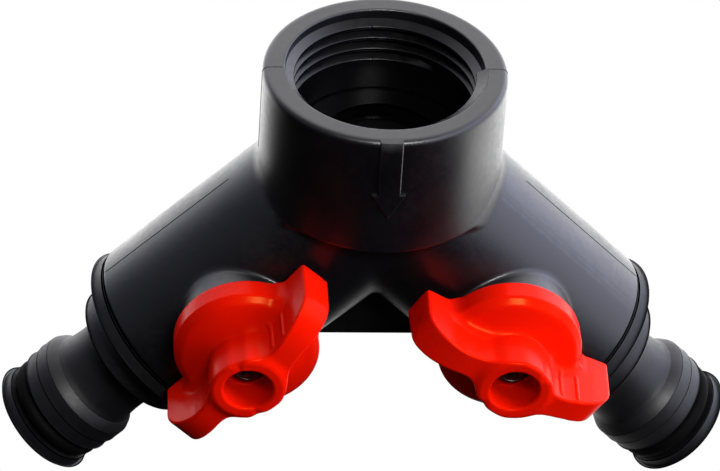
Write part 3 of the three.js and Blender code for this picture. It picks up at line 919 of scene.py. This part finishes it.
def link_math(tree, kind, a, b=0.0):
    node = tree.nodes.new("ShaderNodeMath")
    node.operation = kind
    for socket, value in zip(node.inputs, (a, b)):
        if isinstance(value, (int, float)):
            socket.default_value = value
        else:
            tree.links.new(value, socket)
    return node.outputs["Value"]


def eased(tree, value, start, end):
    """0 before start and 1 after end, with a soft step between."""
    node = tree.nodes.new("ShaderNodeMapRange")
    node.interpolation_type = "SMOOTHSTEP"
    node.inputs["From Min"].default_value = start
    node.inputs["From Max"].default_value = end
    tree.links.new(value, node.inputs["Value"])
    return node.outputs["Result"]


def axes_of(tree, output):
    """A coordinate's X, Y and Z as separate values."""
    place = tree.nodes.new("ShaderNodeTexCoord").outputs[output]
    split = tree.nodes.new("ShaderNodeSeparateXYZ")
    tree.links.new(place, split.inputs["Vector"])
    return split.outputs["X"], split.outputs["Y"], split.outputs["Z"]


def seen_or(tree, seen, otherwise):
    """One value for what the camera sees directly, and another for light and reflections."""
    camera_ray = tree.nodes.new("ShaderNodeLightPath").outputs["Is Camera Ray"]
    part = link_math(tree, "MULTIPLY", camera_ray, seen)
    rest = link_math(tree, "MULTIPLY", link_math(tree, "SUBTRACT", 1.0, camera_ray), otherwise)
    return link_math(tree, "ADD", part, rest)


# The floor is a lit white sheet that ends a little in front of the object, as a studio table does.
white = bpy.data.materials.new("floor_white")
white.use_nodes = True
tree = white.node_tree
tree.nodes.remove(tree.nodes["Principled BSDF"])
sheet = tree.nodes.new("ShaderNodeEmission")
tree.links.new(sheet.outputs["Emission"], tree.nodes["Material Output"].inputs["Surface"])
across, deep, _ = axes_of(tree, "Object")
edge_line = link_math(tree, "ADD", deep, link_math(tree, "MULTIPLY", across, 0.5))
sheet_light = link_math(tree, "ADD", link_math(tree, "MULTIPLY", eased(tree, edge_line, 0.0, 0.05), 2.9), 0.01)
tree.links.new(seen_or(tree, 1.0, sheet_light), sheet.inputs["Strength"])
floor_mesh.materials.append(white)


def softbox(name, place, target, size, power):
    """A rectangular area light that faces its target."""
    data = bpy.data.lights.new(name, "AREA")
    data.shape = "RECTANGLE"
    data.size, data.size_y = size
    data.energy = power
    light = bpy.data.objects.new(name, data)
    light.location = place
    light.rotation_euler = (Vector(target) - Vector(place)).to_track_quat("-Z", "Y").to_euler()
    bpy.context.scene.collection.objects.link(light)
    return light


# The key is found from the highlights on both knobs' chamfers. The gleam adds to its reflections only.
KEY = {"place": (0.147, -0.523, 0.615), "target": (0, 0, 0.02), "size": (0.19, 0.10)}
softbox("key", **KEY, power=2.8)
gleam = softbox("gleam", **KEY, power=6.0)
gleam.visible_diffuse = False
# The broad light from the right shapes the knobs; the dark plastic's reflections come from the world below.
side_light = softbox("side", (0.6, -0.2, 0.34), (0, 0, 0.01), (0.4, 0.4), 5.0)
side_light.visible_glossy = False

# Around the object: a bright back wall and right side, a faint ceiling and left side, and a dark room in front.
world = bpy.data.worlds.new("studio")
bpy.context.scene.world = world
world.use_nodes = True
tree = world.node_tree
to_right, to_back, upwards = axes_of(tree, "Generated")
ceiling = link_math(tree, "MULTIPLY", eased(tree, upwards, 0.3, 0.9), 0.35)
wall = link_math(tree, "MULTIPLY", eased(tree, to_back, 0.05, 0.75), eased(tree, to_right, -1.05, -0.35))
wall = link_math(tree, "MULTIPLY", wall, 2.5)
right_side = link_math(tree, "MULTIPLY", eased(tree, to_right, 0.3, 0.9), eased(tree, upwards, -0.1, 0.3))
right_side = link_math(tree, "MULTIPLY", right_side, 3.6)
left_side = link_math(tree, "MULTIPLY", eased(tree, link_math(tree, "MULTIPLY", to_right, -1.0), 0.6, 0.95), 0.25)
light = link_math(tree, "ADD", link_math(tree, "ADD", ceiling, wall), link_math(tree, "ADD", right_side, left_side))
background = tree.nodes["Background"]
tone = tree.nodes.new("ShaderNodeMix")
tone.data_type = "RGBA"
tree.links.new(eased(tree, link_math(tree, "ABSOLUTE", to_right), 0.3, 0.9), tone.inputs["Factor"])
tone.inputs[MIX_A].default_value = (1.0, 0.99, 1.03, 1)
tone.inputs[MIX_B].default_value = (0.88, 0.9, 1.18, 1)
tree.links.new(tone.outputs[MIX_RESULT], background.inputs["Color"])
tree.links.new(seen_or(tree, 1.2, link_math(tree, "ADD", light, 0.02)), background.inputs["Strength"])
bpy.context.scene.view_settings.view_transform = "Standard"
bpy.context.scene.view_settings.look = "None"
